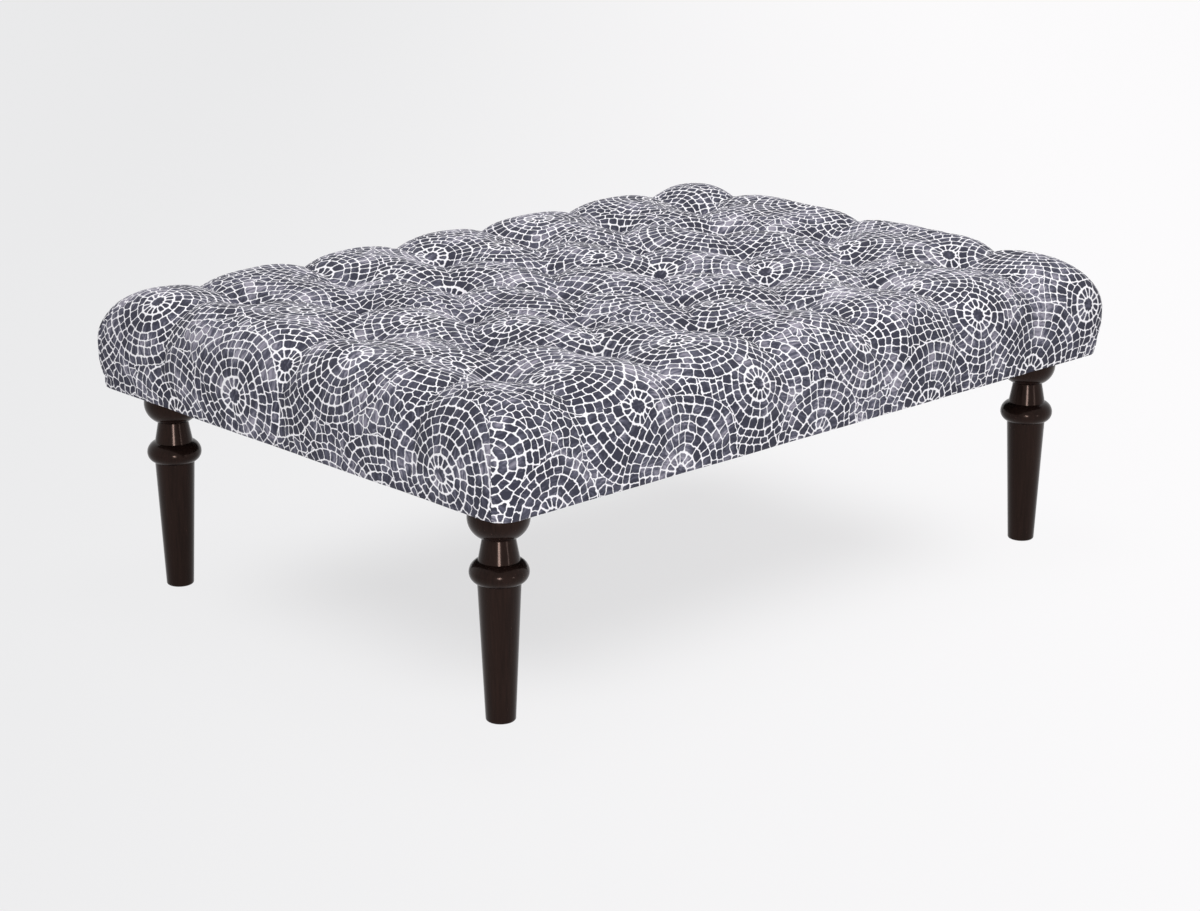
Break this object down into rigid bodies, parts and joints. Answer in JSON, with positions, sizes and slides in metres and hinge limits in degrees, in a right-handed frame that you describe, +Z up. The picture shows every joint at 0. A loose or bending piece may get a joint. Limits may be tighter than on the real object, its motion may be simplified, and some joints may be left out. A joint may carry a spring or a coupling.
{
  "type": "ottoman coffee table",
  "caption": "Low rectangular tufted ottoman coffee table on turned tapered wooden legs, with a padded fabric top over a wooden frame.",
  "frame": {"origin": "on the floor, under the middle of the table", "axes": "+X along the long side, +Y to the rear, +Z up"},
  "size_m": [1.171, 0.861, 0.431],
  "materials": {
    "cover_fabric": "matt printed woven cotton",
    "wadding": "fluffy polyester wadding",
    "foam": "open-cell foam",
    "cambric": "black non-woven dust cover",
    "twine": "waxed tufting twine",
    "frame_wood": "planed softwood, unfinished",
    "plywood": "sanded plywood",
    "leg_wood": "espresso stain under satin lacquer",
    "steel": "zinc-plated steel",
    "glide_plastic": "dark nylon"
  },
  "bodies": {
    "root": {"fabric_cover": "cover_fabric", "wadding": "wadding", "foam_pad": "foam", "dust_cover": "cambric", "tuft_twines": "twine", "tuft_washers": "steel", "deck_panel": "plywood", "front_rail": "frame_wood", "rear_rail": "frame_wood", "left_rail": "frame_wood", "right_rail": "frame_wood", "left_cross_brace": "frame_wood", "right_cross_brace": "frame_wood", "front_left_corner_block": "frame_wood", "front_right_corner_block": "frame_wood", "rear_left_corner_block": "frame_wood", "rear_right_corner_block": "frame_wood", "front_left_leg": "leg_wood", "front_right_leg": "leg_wood", "rear_left_leg": "leg_wood", "rear_right_leg": "leg_wood", "front_left_leg_bolt": "steel", "front_right_leg_bolt": "steel", "rear_left_leg_bolt": "steel", "rear_right_leg_bolt": "steel", "front_left_t_nut": "steel", "front_right_t_nut": "steel", "rear_left_t_nut": "steel", "rear_right_t_nut": "steel", "front_left_glide": "glide_plastic", "front_right_glide": "glide_plastic", "rear_left_glide": "glide_plastic", "rear_right_glide": "glide_plastic", "rail_screws": "steel", "corner_block_screws": "steel", "brace_screws": "steel", "deck_screws": "steel", "cover_staples": "steel", "dust_cover_staples": "steel"}
  },
  "joints": []
}
